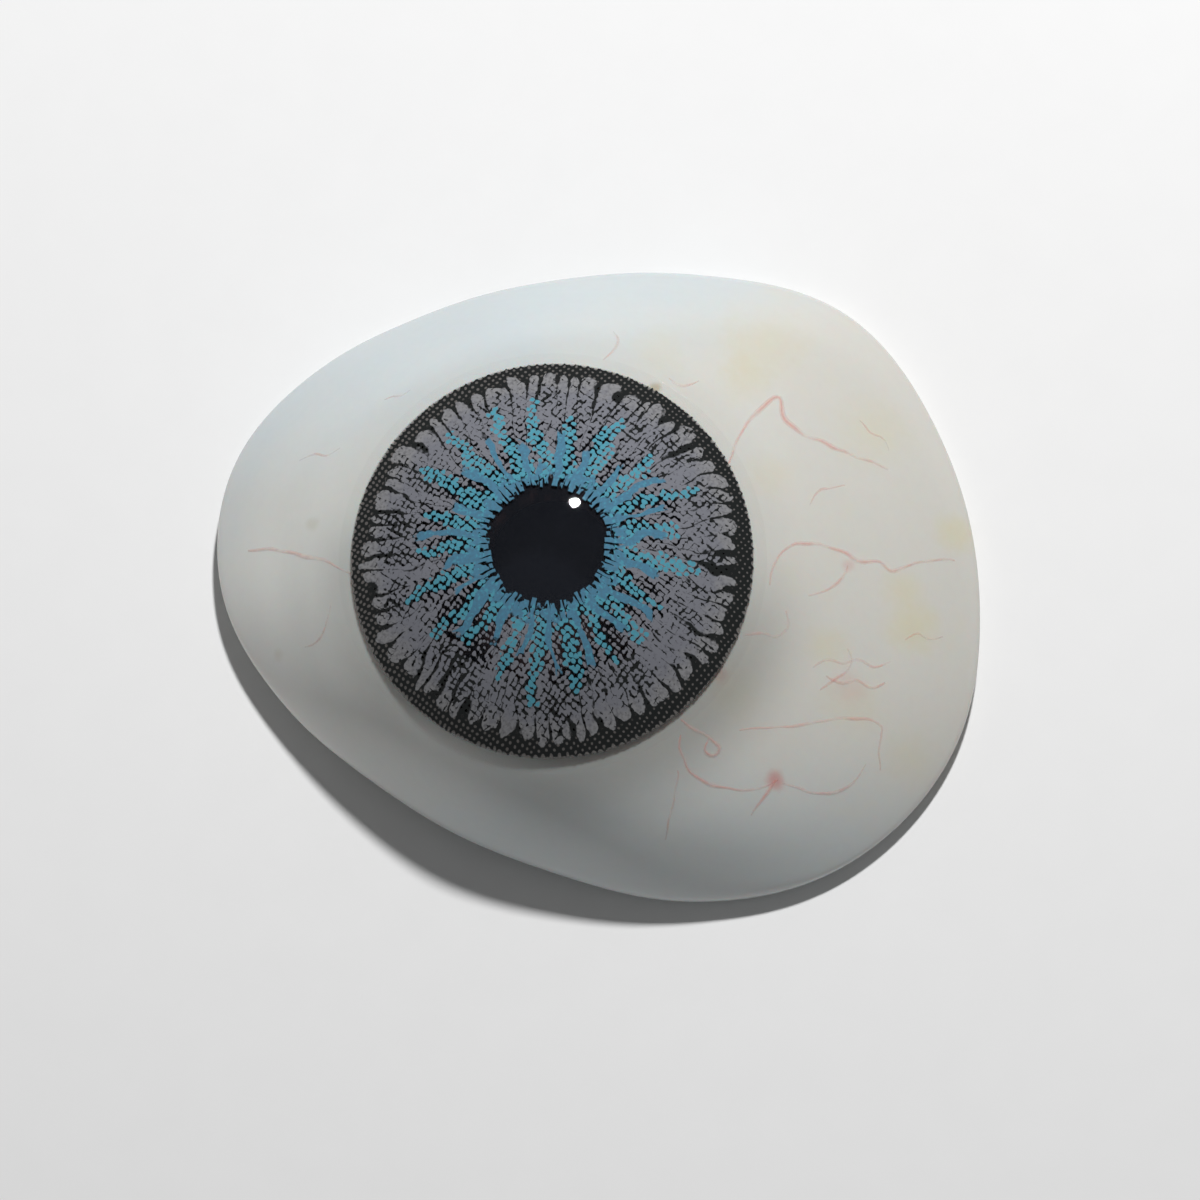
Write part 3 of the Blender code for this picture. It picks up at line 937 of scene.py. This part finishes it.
    def ray_cover(self, tree, settings, middle):
        """How far the teal beads run together: only in rays, which are wide and ragged at the root."""
        turn = middle.turn * settings.rays + middle.streaks(around=1.6, outward=0.45, seed=40) * 1.3
        ray = turn.math("FLOOR") % settings.rays
        lean = (chance(tree, ray, seed=5.5) - 0.5) * 0.25
        off_ray = abs(turn.math("FRACT") - 0.5 + lean)
        tip = 4.1 + chance(tree, ray, seed=61.9) * 1.1
        share = ((tip - middle.radius) / (tip - 2.2)).between(0, 1)
        width = share ** 1.1 * 0.28 + 0.09
        ragged = middle.streaks(around=9, outward=2, seed=33) * 0.9
        cover = (1.0 - off_ray / width) * 0.8 + ragged + middle.radius.falling(2.4, 3.0) * 0.5
        cover = cover - (middle.radius - tip).rising(-0.05, 0.05) * 2
        return cover.between(-1, 0) * 5 + cover.between(0, 1) * 0.12 + 0.39

    def blue_ground(self, here, grain, speck):
        """Broken blue round the pupil, which the teeth and the tongues stand on."""
        edge = BLUE_GROUND_END + here.streaks(around=6, outward=0.3, seed=71) * 1.6
        return (edge - here.radius).rising(-0.10, 0.10) * (grain + 0.10 + speck * 0.5).rising(-0.03, 0.03)

    def tongues(self, tree, settings, here, grain, speck):
        """Solid blue tongues between the rays, like small flames."""
        turn = here.turn * settings.rays + 0.5
        turn = turn + here.streaks(around=2.2, outward=0.45, seed=55) * 1.4
        tongue = turn.math("FLOOR") % settings.rays
        lean = (chance(tree, tongue, seed=25.5) - 0.5) * 0.3
        off_tongue = abs(turn.math("FRACT") - 0.5 + lean)
        tip = 3.2 + chance(tree, tongue, seed=77.3) * 1.2
        reach = 0.09 + chance(tree, tongue, seed=31.9) * 0.07
        reach = reach + here.streaks(around=5, outward=1.2, seed=91) * 0.2
        beside = reach - off_tongue * here.radius * (math.tau / settings.rays)
        shape = beside.least((tip - here.radius) * 0.22) + grain * 0.13 + speck * 0.09
        return shape.rising(-0.01, 0.02)

    def teeth(self, tree, settings, here, grain):
        """Where the teeth round the pupil are, and how near to it each one reaches."""
        turn = here.turn * settings.teeth + here.streaks(around=7, outward=0.6, seed=63) * 2
        tooth = turn.math("FLOOR") % settings.teeth
        off_tooth = abs(turn.math("FRACT") - 0.5)
        root = 1.80 + chance(tree, tooth, seed=91) * 0.20
        gap_end = 1.98 + chance(tree, tooth, seed=17) ** 2 * 0.40
        gap = (off_tooth - 0.33) * 0.22 - (here.radius - gap_end).most(0) * 0.25 + grain * 0.11
        return gap.falling(-0.015, 0.012), root


def flat_map(piece):
    """A map for baking: the piece's plan, which is the print's own drawing."""
    scale = MAP_FILLED / (LENS_HIGH.x - LENS_LOW.x)
    layer = piece.data.uv_layers.new(name="OFBake")
    for loop in piece.data.loops:
        corner = piece.data.vertices[loop.vertex_index].co
        layer.data[loop.index].uv = (
            0.5 + (corner.x - AXIS_X) * scale,
            0.5 + (corner.y - AXIS_Y) * scale,
        )


# The panel


class EyePanel(bpy.types.Panel):
    """Lists the stage and the pieces with their settings"""

    bl_idname = "VIEW3D_PT_prosthetic_eye"
    bl_label = "Prosthetic Eye"
    bl_space_type = "VIEW_3D"
    bl_region_type = "UI"
    bl_category = "Prosthetic Eye"

    def draw(self, context):
        for operator, group in STEPS:
            box = self.layout.box()
            box.operator(operator.bl_idname)
            settings = getattr(context.scene, group)
            for name in settings.__annotations__:
                box.prop(settings, name)


GROUPS = {
    "eye_stage": StageSettings,
    "eye_white": WhiteSettings,
    "eye_veins": VeinSettings,
    "eye_iris": IrisSettings,
    "eye_cornea": CorneaSettings,
    "eye_print": PrintSettings,
}
STEPS = (
    (MakeStage, "eye_stage"),
    (MakeWhiteShell, "eye_white"),
    (MakeVeins, "eye_veins"),
    (FinishIris, "eye_iris"),
    (MakeCornea, "eye_cornea"),
    (MakeLens, "eye_print"),
)
CLASSES = (*GROUPS.values(), *(operator for operator, group in STEPS), EyePanel)


def register():
    for made in CLASSES:
        bpy.utils.register_class(made)
    for name, group in GROUPS.items():
        setattr(bpy.types.Scene, name, PointerProperty(type=group))


def unregister():
    for name in GROUPS:
        delattr(bpy.types.Scene, name)
    for made in reversed(CLASSES):
        bpy.utils.unregister_class(made)


def main():
    register()
    bpy.ops.prosthetic_eye.make_stage()
    bpy.ops.prosthetic_eye.make_white_shell()
    bpy.ops.prosthetic_eye.make_veins()
    bpy.ops.prosthetic_eye.finish_iris()
    bpy.ops.prosthetic_eye.make_cornea()
    bpy.ops.prosthetic_eye.make_lens()


if __name__ == "__main__":
    main()
